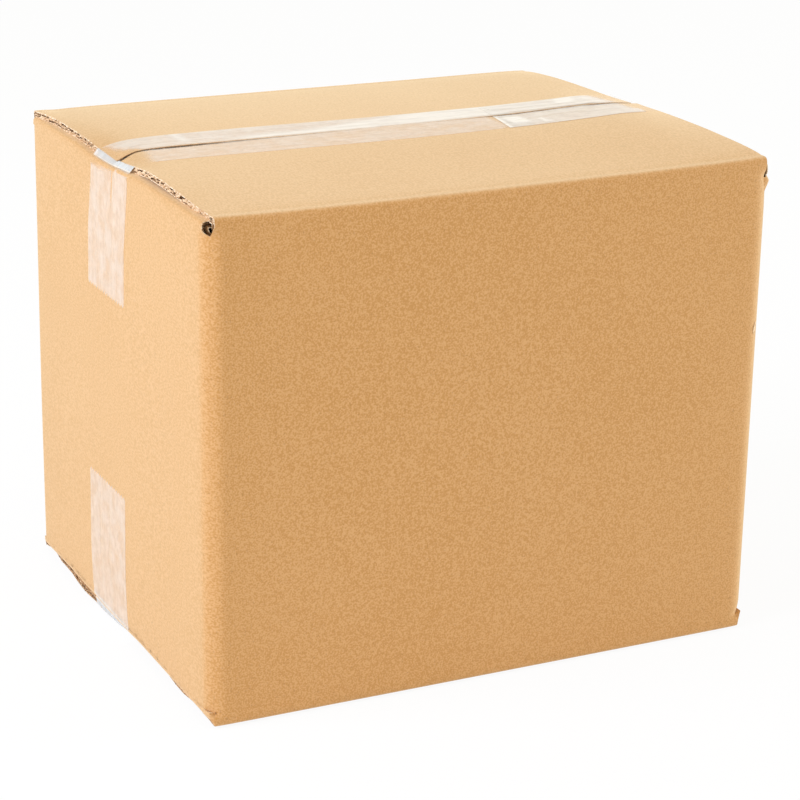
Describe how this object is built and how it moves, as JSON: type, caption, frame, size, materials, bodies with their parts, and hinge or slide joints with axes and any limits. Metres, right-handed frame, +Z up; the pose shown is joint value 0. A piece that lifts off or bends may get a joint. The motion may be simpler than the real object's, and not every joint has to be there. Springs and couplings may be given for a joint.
{
  "type": "closed cardboard box",
  "caption": "Closed shipping carton of corrugated board: folded blank with slotted flaps, sealed top and bottom with clear tape.",
  "frame": {"origin": "on the floor, under the middle of the box", "axes": "+X along the top seam, from the end with the single tape to the end with the overlapping tape; +Y from the front long panel to the back one; +Z up"},
  "size_m": [0.2572, 0.217, 0.2212],
  "materials": {
    "kraft_board": "uncoated brown paper with fine fibre grain",
    "clear_tape": "thin clear film, slightly milky and wrinkled"
  },
  "bodies": {
    "root": {"carton": "kraft_board", "top_tape": "clear_tape", "top_tape_overlap": "clear_tape", "bottom_tape": "clear_tape"}
  },
  "joints": []
}
